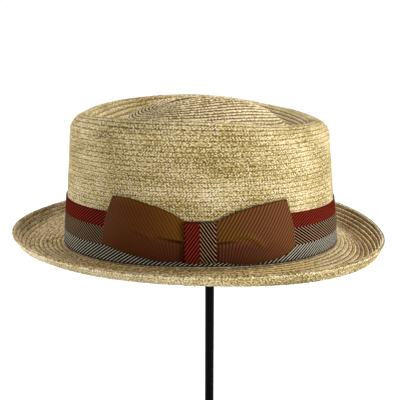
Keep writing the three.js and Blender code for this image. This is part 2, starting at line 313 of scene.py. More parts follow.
def hood(turn, row, out):
    """A point of the hood at a turn and a row count from the middle, moved out along the normal."""
    a = (turn / (2 * math.pi) * TURNS) % TURNS
    i = a.astype(int) % TURNS
    a = (a - np.floor(a))[..., None]
    b = np.clip(row, 0, EDGE_ROW) * PER_ROW
    j = np.minimum(b.astype(int), EDGE_ROW * PER_ROW - 1)
    b = (b - j)[..., None]
    i2 = (i + 1) % TURNS

    def mix(table):
        near = table[i, j] * (1 - b) + table[i, j + 1] * b
        far = table[i2, j] * (1 - b) + table[i2, j + 1] * b
        return near * (1 - a) + far * a

    beyond = np.maximum(row - EDGE_ROW, 0)[..., None]
    outward = PLACES[i, EDGE_ROW * PER_ROW] - PLACES[i, EDGE_ROW * PER_ROW - PER_ROW]
    return mix(PLACES) + mix(NORMALS) * out[..., None] + outward * beyond


# The braid itself, about 5 mm wide and 1 mm thick, plaited from narrow splints of 1 mm. The row above laps
# over the top third of the next. What shows of a row is four lines of splints that lean to and fro.
SPLINT = 0.95
LINES = 4
LEAN = 0.8              # how far a splint leans across its line, in splints
STAGGER = 0.37          # and how far on each line starts from the one before
STRAW_THICK = 1.8       # two lapped rows together
UNDERSIDE = 200         # added to the row number on the faces that look down and in


def wander(seed, turn, size):
    """A slow unevenness round a row, as hands and block leave it."""
    rng = np.random.default_rng(seed)
    total = np.zeros_like(turn)
    for k in range(2, 12):
        total += rng.normal() * np.cos(k * turn + rng.uniform(0, 2 * math.pi)) / math.sqrt(k)
    return total * size


def ring_strip(first, count, splints, lay_start, v_from, v_to):
    """Faces between two rings of corners, the upper one starting at corner number first, and their lay:
    u counts splints along the braid and v counts rows from the middle of the tip."""
    ring = np.arange(count)
    ahead = (ring + 1) % count
    quads = np.stack((first + ring, first + count + ring, first + count + ahead, first + ahead), -1)
    u = (ring[:, None] + (0, 0, 1, 1)) * (splints / count) + lay_start
    return quads, np.stack((u, np.broadcast_to((v_from, v_to, v_to, v_from), u.shape)), -1)


def braid_rows(rows, profile, base, sign, spacing, rough=0.15):
    """Rings of lapped braid. profile lists (across the row, height), base is how far out the straw's face
    is, sign is -1 for the underside, whose rows lap the other way, spacing is the grid along the braid in
    millimetres, and rough is how unevenly the splints lie."""
    corners = []
    faces = []
    spots = []
    start = 0
    for row in rows:
        middle = hood(np.linspace(0, 2 * math.pi, 181)[:-1], np.full(180, row + 0.5), np.full(180, base))
        length = np.linalg.norm(middle - np.roll(middle, 1, 0), axis=1).sum()
        splints = max(8, round(length / SPLINT))
        count = max(16, round(length / spacing))
        turn = np.arange(count) * (2 * math.pi / count)
        rng = np.random.default_rng(1000 + row)
        first = wander(row, turn, 0.035)
        last = wander(row + 1, turn, 0.035)
        lift = wander(500 + row // 3, turn, 0.06)
        for f, height in profile:
            across = f if sign > 0 else 1 - f
            # splints stand a little proud or sunk, and the row's edge is toothed by their turns
            uneven = rng.normal(0, rough, count)
            tooth = rng.normal(0, 0.035, count) if f > 0.9 else 0
            place = row + across + sign * tooth + first * (1 - across) + last * across
            corners.append(hood(turn, place, base + sign * (height + lift + uneven)))
        # each row's splints start at a place of their own, and its faces keep to its own number
        lay_start = 97 * row + 0.618 * row % 1
        number = row if sign > 0 else row + UNDERSIDE
        v = [number + min(max(f, 0.004), 0.996) for f, _ in profile]
        for k in range(len(profile) - 1):
            quads, spot = ring_strip(start + k * count, count, splints, lay_start, v[k], v[k + 1])
            faces.append(quads[:, ::sign])
            spots.append(spot[:, ::sign])
        start += count * len(profile)
    return np.concatenate(corners), np.concatenate(faces), np.concatenate(spots)


def make_piece(name, corners, faces, spots, material, tints=None):
    """A mesh piece from corners in millimetres from the hat's headline, riding on the one body."""
    mesh = bpy.data.meshes.new(name)
    mesh.vertices.add(len(corners))
    mesh.vertices.foreach_set("co", ((corners + HAT) / 1000).astype(np.float32).ravel())
    mesh.loops.add(faces.size)
    mesh.loops.foreach_set("vertex_index", faces.astype(np.int32).ravel())
    mesh.polygons.add(len(faces))
    mesh.polygons.foreach_set("loop_start", np.arange(len(faces), dtype=np.int32) * faces.shape[1])
    mesh.polygons.foreach_set("use_smooth", np.full(len(faces), True))
    mesh.update(calc_edges=True)
    mesh.validate()
    mesh.uv_layers.new(name="lay").data.foreach_set("uv", spots.astype(np.float32).ravel())
    if tints is not None:
        mesh.uv_layers.new(name="tint").data.foreach_set("uv", tints.astype(np.float32).ravel())
    mesh.materials.append(material)
    piece = bpy.data.objects.new(name, mesh)
    bpy.context.scene.collection.objects.link(piece)
    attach(piece, "root")
    return piece


# Natural wheat straw, split, flattened and plaited undyed: a waxy skin with only a faint shine, every splint
# its own gold or olive, with painted shade in the gaps between the rows, and paler where it turns over at a
# row's edge, partly its turned side and partly a painted highlight.
STRAW_TONES = {0.05: "35270A", 0.25: "7C662E", 0.5: "BFAA6E", 0.75: "EADBB2", 0.97: "F7EAD0"}
TURNED = 0.2            # how much lighter the turned side of the straw is
OWN = 0.56              # how much a splint's tone is its own chance
OTHERS = 0.18           # and how much it goes against its neighbours
FIBRES = 6              # across a splint, so about 0.16 mm apart


def wheat_straw():
    material, tree, shader = new_finish("plaited_wheat_straw")
    uv = node(tree, "UVMap", uv_map="lay")
    u, v, _ = node(tree, "SeparateXYZ", (uv,)).outputs
    # line is the count of splint lines from the middle, g the share across one, and w that across a splint
    lines = node(tree, "Math", (v, LINES), operation="MULTIPLY")
    line = node(tree, "Math", (lines,), operation="FLOOR")
    g = node(tree, "Math", (lines,), operation="FRACT")
    odd = node(tree, "Math", (line, 2.0), operation="MODULO")
    side = node(tree, "Math", (odd, -2.0, 1.0), operation="MULTIPLY_ADD")
    lean = node(tree, "Math", (g, LEAN, -LEAN / 2), operation="MULTIPLY_ADD")
    leant = node(tree, "Math", (lean, side, u), operation="MULTIPLY_ADD")
    place = node(tree, "Math", (line, STAGGER, leant), operation="MULTIPLY_ADD")
    splint = node(tree, "Math", (place,), operation="FLOOR")
    w = node(tree, "Math", (place,), operation="FRACT")

    # which part of the hood this is: the tip and the brim are blocked hard, so their rows stand open
    row_at = node(tree, "Math", (v,), operation="FRACT")
    face_up = node(tree, "Math", (v, UNDERSIDE / 2), operation="LESS_THAN")
    brim_part = node(tree, "MapRange", (v, HEADLINE_ROW - 1, HEADLINE_ROW + 1, 0.0, 1.0))
    brim_part = node(tree, "Math", (brim_part, face_up), operation="MULTIPLY")
    outer = node(tree, "MapRange", (v, HEADLINE_ROW + 2, HEADLINE_ROW + 6, 0.35, 1.0))
    lip = node(tree, "MapRange", (v, EDGE_ROW - 1, EDGE_ROW, 1.0, 0.0))
    tip_part = node(tree, "MapRange", (v, TIP_ROWS + 4, TIP_ROWS + 7, 1.0, 0.0))
    open_part = node(tree, "Math", (brim_part, tip_part), operation="ADD")
    ring = node(tree, "MapRange", (v, TIP_ROWS - 1, TIP_ROWS + 1, 0.0, 1.0))
    ring = node(tree, "Math", (ring, tip_part), operation="MULTIPLY")
    # and where it is between the front (negative) and the back of the hat, in metres
    here = node(tree, "TexCoord").outputs["Object"]
    along_hat = node(tree, "SeparateXYZ", (here,)).outputs["X"]
    to_end = node(tree, "Math", (along_hat,), operation="ABSOLUTE")
    front_brim = node(tree, "MapRange", (along_hat, -0.09, -0.03, 1.0, 0.0))
    warm = node(tree, "Math", (front_brim, brim_part), operation="MULTIPLY")
    trough = node(tree, "MapRange", (to_end, 0.07, 0.11, 1.0, 0.0))
    for part in (brim_part, lip):
        trough = node(tree, "Math", (trough, part), operation="MULTIPLY")

    one_splint = node(tree, "CombineXYZ", (splint, line))
    own = node(tree, "TexWhiteNoise", {"Vector": one_splint}, noise_dimensions="2D")
    _, own_rise, own_polish = node(tree, "SeparateXYZ", (own.outputs["Color"],)).outputs
    # the hood's slow clouds of greener and browner straw: 14 mm, drawn out to 4 cm along a slant
    slanted = node(tree, "Mapping", {"Vector": here, "Location": (0.11, 0.2, 0.07),
                                     "Rotation": (0, math.radians(38), 0), "Scale": (0.35, 0.6, 1.0)})
    cloud = node(tree, "TexNoise", {"Vector": slanted, "Scale": 70.0, "Detail": 1.5})
    tone = node(tree, "Math", (cloud, 0.55, 0.02), operation="MULTIPLY_ADD")
    # light and dark sides of the straw come up by turns, which the plait's own unevenness blurs
    course = node(tree, "Math", (v, 2.0), operation="MULTIPLY")
    course = node(tree, "Math", (course,), operation="FLOOR")
    turned = node(tree, "Math", (splint, course), operation="ADD")
    turned = node(tree, "Math", (turned, 2.0), operation="FLOORED_MODULO")
    tone = node(tree, "Math", (turned, TURNED, tone), operation="MULTIPLY_ADD")
    # a pale splint mostly lies beside darker ones: its own chance, less those of the ones beside and above
    tone = node(tree, "Math", (own, OWN, tone), operation="MULTIPLY_ADD")
    for beside in ((1, 0, 0), (0, 1, 0)):
        there = node(tree, "VectorMath", (one_splint, beside), operation="ADD")
        other = node(tree, "TexWhiteNoise", {"Vector": there}, noise_dimensions="2D")
        tone = node(tree, "Math", (other, -OTHERS, tone), operation="MULTIPLY_ADD")
    plain_tone = tone
    # the brim is painted paler, most of all towards the front of the hat: painted light where the lamps
    # reach it little
    whole_brim = node(tree, "Math", (v, HEADLINE_ROW), operation="GREATER_THAN")
    front_light = node(tree, "Math", (along_hat, -2.0, 0.06), operation="MULTIPLY_ADD")
    front_light = node(tree, "Math", (front_light, 0.02), operation="MAXIMUM")
    tone = node(tree, "Math", (front_light, whole_brim, tone), operation="MULTIPLY_ADD")
    # the lower face is a little darker
    darker = node(tree, "Math", (face_up, 0.06, -0.06), operation="MULTIPLY_ADD")
    tone = node(tree, "Math", (tone, darker), operation="ADD")
    # on the brim, lengths of a few splints have turned darker or lighter together, and its trough is painted
    # paler, painted light in a hollow the lamps reach little
    streak_u = node(tree, "Math", (u, 0.2), operation="MULTIPLY")
    streak_v = node(tree, "Math", (course, 1.7), operation="MULTIPLY")
    streak_at = node(tree, "CombineXYZ", (streak_u, streak_v))
    streak = node(tree, "TexNoise", {"Vector": streak_at, "Scale": 1.0, "Detail": 1.0})
    streak = node(tree, "Math", (streak, 0.5), operation="SUBTRACT")
    streak = node(tree, "Math", (streak, -0.09), operation="MAXIMUM")
    streaked = node(tree, "Math", (front_brim, 2.7, 0.7), operation="MULTIPLY_ADD")
    streaked = node(tree, "Math", (streaked, brim_part), operation="MULTIPLY")
    tone = node(tree, "Math", (streak, streaked, tone), operation="MULTIPLY_ADD")
    # painted light: the trough is made paler
    tone = node(tree, "Math", (trough, 0.5, tone), operation="MULTIPLY_ADD")
    # the tip's straws are more even, and the sunk ring round it is painted paler towards the back: painted
    # light against the shade the mound and rim throw there
    even = node(tree, "Math", (tone, -0.2, 0.16), operation="MULTIPLY_ADD")
    tone = node(tree, "Math", (even, tip_part, tone), operation="MULTIPLY_ADD")
    tone = node(tree, "Math", (along_hat, ring, tone), operation="MULTIPLY_ADD")
    tones = node(tree, "ValToRGB", (tone,))
    stops = tones.color_ramp.elements
    stops[0].position = min(STRAW_TONES)
    stops[1].position = max(STRAW_TONES)
    for position in list(STRAW_TONES)[1:-1]:
        stops.new(position)
    for stop, colour in zip(stops, STRAW_TONES.values()):
        stop.color = linear(colour)

    # fibres run along each splint, and it swells between its own edges and those of its line
    fibre_w = node(tree, "Math", (place, FIBRES), operation="MULTIPLY")
    fibre_g = node(tree, "Math", (lines, 0.9), operation="MULTIPLY")
    fibre_at = node(tree, "CombineXYZ", (fibre_w, fibre_g))
    fibre = node(tree, "TexNoise", {"Vector": fibre_at, "Scale": 1.0, "Detail": 3.0})
    swell = 1.0
    for across, fullness in ((w, 0.5), (g, 0.35)):
        bulge = node(tree, "Math", (across, math.pi), operation="MULTIPLY")
        bulge = node(tree, "Math", (bulge,), operation="SINE")
        bulge = node(tree, "Math", (bulge, fullness), operation="POWER")
        swell = node(tree, "Math", (swell, bulge), operation="MULTIPLY")

    # shade in the gaps, broken into dashes: most between rows, less along a row's middle
    from_edge = node(tree, "Math", (v, 0.5), operation="PINGPONG")
    from_middle = node(tree, "Math", (0.5, from_edge), operation="SUBTRACT")
    row_gap = node(tree, "MapRange", (from_edge, 0.05, 0.16, 1.0, 0.0))
    middle_gap = node(tree, "MapRange", (from_middle, 0.0, 0.1, 0.4, 0.0))
    gap = node(tree, "Math", (row_gap, middle_gap), operation="ADD")
    dash_u = node(tree, "Math", (u, 0.33), operation="MULTIPLY")
    dash_v = node(tree, "Math", (v, 2.0), operation="MULTIPLY")
    dash_v = node(tree, "Math", (dash_v,), operation="ROUND")
    dash_at = node(tree, "CombineXYZ", (dash_u, dash_v))
    dash = node(tree, "TexNoise", {"Vector": dash_at, "Scale": 1.0, "Detail": 1.0})
    open_here = node(tree, "MapRange", (dash, 0.4, 0.54, 0.2, 0.95))
    gap = node(tree, "Math", (gap, open_here), operation="MULTIPLY")
    crossing = node(tree, "MapRange", (swell, 0.0, 0.7, 0.4, 0.0))
    dark = node(tree, "Math", (gap, crossing), operation="ADD")
    dark = node(tree, "Clamp", (dark, 0.0, 0.92))
    body = node(tree, "Mix", {0: dark, 6: tones, 7: linear("5E4812")}, data_type="RGBA")

    # in an open row the tucked side is brown with shade, over more of the row on the tip
    deep = node(tree, "Math", (tip_part, -0.12, row_at), operation="MULTIPLY_ADD")
    first_rows = node(tree, "MapRange", (v, 6.0, 11.0, -0.1, 0.0))
    deep = node(tree, "Math", (deep, first_rows), operation="ADD")
    tucked = node(tree, "MapRange", (deep, 0.2, 0.34, 0.96, 0.0))
    # on the brim that shade is broken into dashes, most of all towards the front
    dashed = node(tree, "Math", (warm, 0.45, 0.5), operation="MULTIPLY_ADD")
    dashed = node(tree, "Math", (dashed, brim_part), operation="MULTIPLY")
    broken = node(tree, "Math", (open_here, 1.0), operation="SUBTRACT")
    broken = node(tree, "Math", (broken, dashed, 1.0), operation="MULTIPLY_ADD")
    # and in the sunk ring it is thinner towards the front, and lighter towards the back
    thin = node(tree, "MapRange", (along_hat, -0.05, 0.0, -0.35, 0.0))
    thin = node(tree, "Math", (thin, ring, 1.0), operation="MULTIPLY_ADD")
    for part in (open_part, lip, broken, thin):
        tucked = node(tree, "Math", (tucked, part), operation="MULTIPLY")
    back_ring = node(tree, "MapRange", (along_hat, -0.05, 0.05, 0.25, 1.0))
    back_ring = node(tree, "Math", (back_ring, ring), operation="MULTIPLY")
    gap_shade = linear("522F02")
    for part, colour in ((brim_part, "54340E"), (back_ring, "855C18"), (warm, "3A1E04")):
        gap_shade = node(tree, "Mix", {0: part, 6: gap_shade, 7: linear(colour)}, data_type="RGBA")
    body = node(tree, "Mix", {0: tucked, 6: body, 7: gap_shade}, data_type="RGBA")

    # the front of the brim and its trough are a warmer straw, and at the brim's ends the rows' faces carry
    # a painted warm brown shade, less towards the front of the hat
    end_part = node(tree, "MapRange", (to_end, 0.07, 0.12, 0.15, 1.0))
    spared_at_front = node(tree, "Math", (front_brim, -0.85, 1.0), operation="MULTIPLY_ADD")
    end_face_shade = node(tree, "MapRange", (row_at, 0.7, 0.82, 1.0, 0.0))
    for part in (end_part, outer, brim_part, lip, spared_at_front):
        end_face_shade = node(tree, "Math", (end_face_shade, part), operation="MULTIPLY")
    for part, colour in ((warm, "FFF4DC"), (trough, "FDEBB8"), (end_face_shade, "FFD9AC")):
        body = node(tree, "Mix", {0: part, 6: body, 7: linear(colour)},
                    data_type="RGBA", blend_type="MULTIPLY")

    # the rows' folded edges are paler, splint by splint, on the tip and at the brim's ends: partly the
    # straw's turned side, partly a painted highlight where the edges catch the light
    far_end = node(tree, "MapRange", (to_end, 0.06, 0.11, 0.1, 1.0))
    speckled = node(tree, "Math", (front_brim, -0.2, 1.0), operation="MULTIPLY_ADD")
    for part in (brim_part, outer, speckled):
        far_end = node(tree, "Math", (far_end, part), operation="MULTIPLY")
    highlit_edges = node(tree, "Math", (tip_part, 0.6, far_end), operation="MULTIPLY_ADD")
    kept = node(tree, "Math", (along_hat, 1.2, plain_tone), operation="MULTIPLY_ADD")
    kept = node(tree, "MapRange", (kept, 0.3, 0.65, 0.15, 1.0))
    fold = node(tree, "MapRange", (row_at, 0.74, 0.82, 0.0, 1.0))
    for part in (kept, highlit_edges):
        fold = node(tree, "Math", (fold, part), operation="MULTIPLY")
    edge_highlight = node(tree, "Mix", {0: brim_part, 6: linear("FAEBC6"), 7: linear("FFF3D4")}, data_type="RGBA")
    body = node(tree, "Mix", {0: fold, 6: body, 7: edge_highlight}, data_type="RGBA")

    height = node(tree, "Math", (fibre, 0.15, swell), operation="MULTIPLY_ADD")
    height = node(tree, "Math", (own_rise, 0.8, height), operation="MULTIPLY_ADD")
    bump = node(tree, "Bump", {"Strength": 1.0, "Distance": 0.0006, "Height": height})
    polish = node(tree, "MapRange", (own_polish, 0.0, 1.0, 0.75, 0.45))
    node(tree, shader, {"Base Color": body, "Roughness": polish, "Specular IOR Level": 0.05, "Normal": bump})
    return material


STRAW = wheat_straw()

# (across the row, height): tucked under the row before, two full ridges, and a rounded outer edge. The rows
# of the tip and the brim stand open, and rise to that edge in one slope.
LAPPED = (
    (-0.16, -0.42), (0.04, -0.16), (0.25, -0.04), (0.5, -0.1), (0.75, 0.08), (0.95, 0.05), (1.05, -0.18),
)
TIP_LAPPED = (
    (-0.16, -0.55), (0.04, -0.34), (0.25, -0.22), (0.5, -0.1), (0.75, 0.04), (0.95, 0.1), (1.05, -0.3),
)
BRIM_LAPPED = (
    (-0.16, -0.6), (0.04, -0.3), (0.25, -0.2), (0.5, -0.1), (0.75, 0.0), (0.93, 0.2), (1.03, -0.25),
)
INSIDE = ((-0.12, -0.6), (0.1, -0.3), (0.5, -0.05), (0.9, 0.1), (1.04, -0.4))
PLAIN = ((0.0, -0.5), (1.0, -0.5))      # under the ribbon, where nothing shows
WALL_ROW = TIP_ROWS + 10        # the first row of the wall's piece, and the first one under the ribbon
COVERED_ROW = HEADLINE_ROW - 9
BRIM_SPACING = 0.75     # the grid along the brim's braid
EDGE_GIRTH = 790        # round the brim's edge
EDGE_FOLD = 0.27        # how much of a row the fold at the edge takes, and how far it stands up and down
EDGE_ROUND = 1.12
END_HALF_WIDTH = 0.32   # of a broken end of straw, at its root
END_HALF_THICK = 0.14
CROWN_ENDS = 44         # how many have worked loose
EDGE_ENDS = 110


def together(*parts):
    """Several sets of corners, faces and spots as one."""
    corners = np.concatenate([part[0] for part in parts])
    starts = np.cumsum([0] + [len(part[0]) for part in parts[:-1]])
    faces = np.concatenate([part[1] + start for part, start in zip(parts, starts)])
    return corners, faces, np.concatenate([part[2] for part in parts])


def edge_row():
    """The last row of the brim, doubled back on itself round the edge."""
    count = round(EDGE_GIRTH / BRIM_SPACING)
    splints = round(EDGE_GIRTH / SPLINT)
    turn = np.arange(count) * (2 * math.pi / count)
    rng = np.random.default_rng(77)
    out_of_true = wander(EDGE_ROW, turn, 0.03)
    bends = np.linspace(math.radians(105), math.radians(-105), 10)
    across = EDGE_ROW + 0.12 + 0.76 * np.linspace(0, 1, len(bends))
    corners = []
    for bend in bends:
        place = EDGE_ROW - EDGE_FOLD * (1 - math.cos(bend)) + out_of_true + rng.normal(0, 0.045, count)
        out = EDGE_ROUND * math.sin(bend) - STRAW_THICK / 2 + rng.normal(0, 0.14, count)
        corners.append(hood(turn, place, out))
    strips = [ring_strip(k * count, count, splints, 0, *across[k:k + 2]) for k in range(len(bends) - 1)]
    faces, spots = zip(*strips)
    return np.concatenate(corners), np.concatenate(faces), np.concatenate(spots)


def straw_ends(turns, rows, seed, lengths):
    """Broken ends of straw that have worked loose, each a flat pointed sliver lying out from the braid."""
    rng = np.random.default_rng(seed)
    corners = []
    faces = []
    spots = []
    for turn, row in zip(turns, rows):
        # the place itself, one a little along the braid, and one a little outward
        rows_near = np.array([row, row, min(row + 0.1, EDGE_ROW)])
        near = hood(np.array([turn, turn + 0.004, turn]), rows_near, np.zeros(3))
        along = near[1] - near[0]
        along /= np.linalg.norm(along)
        aside = near[2] - near[0] + 1e-6
        aside /= np.linalg.norm(aside)
        out = np.cross(aside, along)
        out /= np.linalg.norm(out)
        lean = rng.uniform(0.2, 1.2) * rng.choice((-1, 1))
        way = math.cos(lean) * along + abs(math.sin(lean)) * aside
        broad = np.cross(out, way)
        length = rng.uniform(*lengths)
        start = len(corners)
        for share in (0.0, 0.4, 0.75, 1.0):
            middle = near[0] + way * length * share + out * (0.1 + 0.5 * share ** 2)
            half = END_HALF_WIDTH * (1 - 0.6 * share)
            for side, rise in ((-half, 0), (0, END_HALF_THICK), (half, 0), (0, -END_HALF_THICK)):
                corners.append(middle + broad * side + out * rise)
        for low in range(start, start + 12, 4):
            for m in range(4):
                faces.append((low + m, low + (m + 1) % 4, low + 4 + (m + 1) % 4, low + 4 + m))
        faces.append((start + 3, start + 2, start + 1, start))
        faces.append((start + 12, start + 13, start + 14, start + 15))
        place = (rng.integers(0, 900) + 0.5, math.floor(row) + 0.62)
        spots.append(np.full((14, 4, 2), place) + rng.uniform(0, 0.05, (14, 4, 2)))
    return np.array(corners), np.array(faces), np.concatenate(spots)


loose = np.random.default_rng(31)
crown_turns = loose.uniform(0, 2 * math.pi, CROWN_ENDS)
crown_rows = loose.uniform(TIP_ROWS + 11, HEADLINE_ROW - 12, CROWN_ENDS)
edge_turns = loose.uniform(0, 2 * math.pi, EDGE_ENDS)
crown_ends = straw_ends(crown_turns, crown_rows, 32, (2.0, 4.0))
edge_ends = straw_ends(edge_turns, np.full(EDGE_ENDS, EDGE_ROW - 0.3), 33, (1.0, 2.2))
hood_pieces = {
    "straw_tip": braid_rows(range(WALL_ROW), TIP_LAPPED, 0.0, 1, spacing=0.68),
    "straw_wall": together(
        braid_rows(range(WALL_ROW, COVERED_ROW), LAPPED, 0.0, 1, spacing=0.66),
        braid_rows(range(COVERED_ROW, HEADLINE_ROW - 1), PLAIN, 0.0, 1, spacing=4.0, rough=0.0),
        crown_ends,
    ),
    "straw_brim_top": together(
        braid_rows(range(HEADLINE_ROW - 1, EDGE_ROW), BRIM_LAPPED, 0.0, 1, BRIM_SPACING),
        edge_row(),
        edge_ends,
    ),
    "straw_brim_under": braid_rows(range(HEADLINE_ROW, EDGE_ROW), LAPPED, -STRAW_THICK, -1, spacing=0.8),
    "straw_inside": braid_rows(range(HEADLINE_ROW), INSIDE, -STRAW_THICK, -1, spacing=1.5),
}
for name, parts in hood_pieces.items():
    piece = make_piece(name, *parts, STRAW)
    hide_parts("straw_body")


# ---------------------------------------------------------------- Striped ribbon band
# A 34 mm woven ribbon drawn tight round the foot of the crown, its ends butted under the bow. Three twill
# stripes, whose slanting wales turn back at each border: grey on black, tan on black-brown, and rust red.
BAND_FOOT = 1.0
BAND_TOP = 35.3
BAND_RISE = 1.6        # how far its upper edge rises at the front of the hat, and falls at the back
DRAWN_DOWN = 5.6       # how far the knot's stitches draw its upper edge down, and within how many degrees
DRAWN_FROM = 15
BAND_THICK = 0.4
STAND_OFF = 0.85       # the middle of the ribbon's thickness, out from the straw
RIBBON_WIDTH = 34.3
LOW_BORDER = 11.0      # where the stripes meet, above the lower selvedge
HIGH_BORDER = 23.6
STRIPES = (("060504", "AAA595"), ("0E0402", "7D6850"), ("240604", "74291B"))  # dark and bright, from below
SELVEDGE = 0.9         # of plain weave along the lower edge
SIDE = 1.5 * math.pi   # the turn of the hat's left side, where the bow sits
WALE = 1.78            # across one dark and one bright line of the twill
TWILL = math.radians(34.5)  # how steeply the lines climb across the ribbon
THREADS = 2.8          # bright threads to a millimetre
WARP = 0.5             # from rib to rib along the ribbon, drawn coarse enough to show


def band_top(turn):
    """The band's upper edge, drawn down where the knot is sewn through it."""
    from_knot = np.abs((np.degrees(turn - SIDE) + 180) % 360 - 180)
    drawn = DRAWN_DOWN * smooth(np.clip((DRAWN_FROM - from_knot) / 5, 0, 1))
    return BAND_TOP - BAND_RISE * np.cos(turn) * np.abs(np.cos(turn)) - drawn


def cloth(grid, spots, thickness, joined=False):
    """A cloth sheet with two faces and its edges, from a grid of places (along, across) and their lay.

    joined closes it along, and then the lay has one more row than the grid.
    """
    along = np.roll(grid, -1, 0) - np.roll(grid, 1, 0) if joined else np.gradient(grid, axis=0)
    across = np.gradient(grid, axis=1)
    normals = np.cross(along, across)
    normals /= np.linalg.norm(normals, axis=2, keepdims=True)
    n, m = grid.shape[:2]
    corners = np.concatenate((grid + normals * thickness / 2, grid - normals * thickness / 2)).reshape(-1, 3)
    number = np.arange(len(spots))[:, None] % n * m + np.arange(m)

    def quads(table):
        around_each = (table[:-1, :-1], table[1:, :-1], table[1:, 1:], table[:-1, 1:])
        return np.stack(around_each, 2).reshape(-1, 4, *table.shape[2:])

    faces = [quads(number), quads(number)[:, ::-1] + n * m]
    lays = [quads(spots), quads(spots)[:, ::-1]]
    edges = [(number[:, 0], spots[:, 0], 1), (number[:, -1], spots[:, -1], -1)]
    if not joined:
        edges += [(number[0], spots[0], -1), (number[-1], spots[-1], 1)]
    for corner, lay, way in edges:
        side = np.stack((corner[:-1], corner[:-1] + n * m, corner[1:] + n * m, corner[1:]), -1)
        faces.append(side[:, ::way])
        lays.append(np.stack((lay[:-1], lay[:-1], lay[1:], lay[1:]), 1)[:, ::way])
    return corners, np.concatenate(faces), np.concatenate(lays)


# Rayon and cotton ribbon twill: fine bright threads over dark ones, ribbed along the wales, matt and dry.
def striped_twill():
    material, tree, shader = new_finish("striped_ribbon_twill")
    uv = node(tree, "UVMap", uv_map="lay")
    u, v, _ = node(tree, "SeparateXYZ", (uv,)).outputs
    # folded about the borders, so that the lines meet there in chevrons
    above_low = node(tree, "Math", (v, LOW_BORDER), operation="GREATER_THAN")
    above_high = node(tree, "Math", (v, HIGH_BORDER), operation="GREATER_THAN")
    low_part = node(tree, "Math", (v, LOW_BORDER), operation="SUBTRACT")
    high_part = node(tree, "Math", (v, HIGH_BORDER), operation="SUBTRACT")
    high_only = node(tree, "Math", (high_part, 0.0), operation="MAXIMUM")
    low_only = node(tree, "Math", (low_part, 0.0), operation="MINIMUM")
    mid_only = node(tree, "Clamp", (low_part, 0.0, HIGH_BORDER - LOW_BORDER))
    rise = node(tree, "Math", (high_only, low_only), operation="ADD")
    rise = node(tree, "Math", (rise, mid_only), operation="SUBTRACT")
    cross = node(tree, "Math", (rise, -math.cos(TWILL) / WALE), operation="MULTIPLY")
    phase = node(tree, "Math", (u, math.sin(TWILL) / WALE, cross), operation="MULTIPLY_ADD")
    wave = node(tree, "Math", (phase, 2 * math.pi), operation="MULTIPLY")
    wave = node(tree, "Math", (wave,), operation="SINE")
    # bright threads break the edge of each line into small steps
    thread_at = node(tree, "VectorMath", {0: uv, "Scale": THREADS}, operation="SCALE")
    thread = node(tree, "TexNoise", {"Vector": thread_at, "Scale": 1.0, "Detail": 1.0})
    ragged = node(tree, "Math", (thread, 0.5, -0.25), operation="MULTIPLY_ADD")
    edge = node(tree, "Math", (wave, ragged), operation="ADD")
    bright = node(tree, "MapRange", (edge, 0.55, 0.85, 0.0, 1.0), interpolation_type="SMOOTHSTEP")
    low_stripe, body, high_stripe = (
        node(tree, "Mix", {0: bright, 6: linear(dark), 7: linear(light)}, data_type="RGBA")
        for dark, light in STRIPES
    )
    body = node(tree, "Mix", {0: above_low, 6: low_stripe, 7: body}, data_type="RGBA")
    body = node(tree, "Mix", {0: above_high, 6: body, 7: high_stripe}, data_type="RGBA")
    selvedge = node(tree, "Math", (v, SELVEDGE), operation="LESS_THAN")
    body = node(tree, "Mix", {0: selvedge, 6: body, 7: linear("44393B")}, data_type="RGBA")
    warp = node(tree, "Math", (u, 2 * math.pi / WARP), operation="MULTIPLY")
    warp = node(tree, "Math", (warp,), operation="SINE")
    relief = node(tree, "Math", (warp, 0.25, wave), operation="MULTIPLY_ADD")
    bump = node(tree, "Bump", {"Strength": 0.35, "Distance": 0.00012, "Height": relief})
    node(tree, shader, {"Base Color": body, "Roughness": 0.85, "Specular IOR Level": 0.0, "Normal": bump})
    return material


RIBBON = striped_twill()
round_count = 600
turn = SIDE + np.arange(round_count) * (2 * math.pi / round_count)
across = np.linspace(0, 1, 15)
places = np.empty((round_count, len(across), 3))
for k, share in enumerate(across):
    above = BAND_FOOT + 0.15 + (band_top(turn) - 0.3 - BAND_FOOT) * share
    # tight at both selvedges, a breath looser between them
    out = STAND_OFF + 0.16 * math.sin(math.pi * share) + wander(801, turn, 0.03)
    places[:, k] = wall_point(turn, above, out)
step = np.linalg.norm(np.roll(places[:, 7], -1, 0) - places[:, 7], axis=1)
walked = np.concatenate(([0.0], np.cumsum(step)))
spots = np.stack(np.broadcast_arrays(walked[:, None], RIBBON_WIDTH * across[None, :]), -1)
band = make_piece("ribbon_band", *cloth(places, spots, BAND_THICK, joined=True), RIBBON)
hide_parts("hat_band")


# ---------------------------------------------------------------- Bow wings
# Two loops of stiff brown ribbon, folded flat and caught under the knot, which gathers each into a crease.
# The ribbon is a shot twill: purple-brown lines over an olive-gold ground, whose gold is painted on as a
# sheen where the cloth bends.
BOW_BACK = 1.6         # how far the bow's back stands off the straw
BOW_THICK = 0.45
FOLD_BULGE = 0.434     # degrees round the hat that the end fold stands out, to a millimetre between faces
FOLD_STEPS = 9
RIB = 2.15             # from line to line of the twill, and from thread to thread across the ribbon
WEFT = 0.45
RIB_SLANT = 0.58       # how far the lines lean along the wing for each millimetre up
GATHERED = 30          # how far out from the knot they are gathered upright below the crease
FRONT_WING = (
    # outward from the knot: turn and height of its lower edge, then of its upper edge, and how full it is
    (-4.6, 5.6, -4.6, 31.2, 2.6),
    (-14.5, 5.6, -13.0, 39.2, 5.2),
    (-23.5, 8.4, -21.0, 43.6, 6.2),
    (-32.0, 11.4, -28.0, 46.6, 5.4),
    (-39.0, 13.9, -34.2, 47.3, 3.6),
)
BACK_WING = (
    (4.4, 5.8, 4.4, 30.6, 2.6),
    (15.0, 3.4, 13.5, 38.0, 5.4),
    (24.0, 4.6, 21.5, 41.6, 6.4),
    (31.5, 7.2, 28.5, 43.7, 5.4),
    (36.7, 11.4, 33.7, 44.6, 3.6),
)
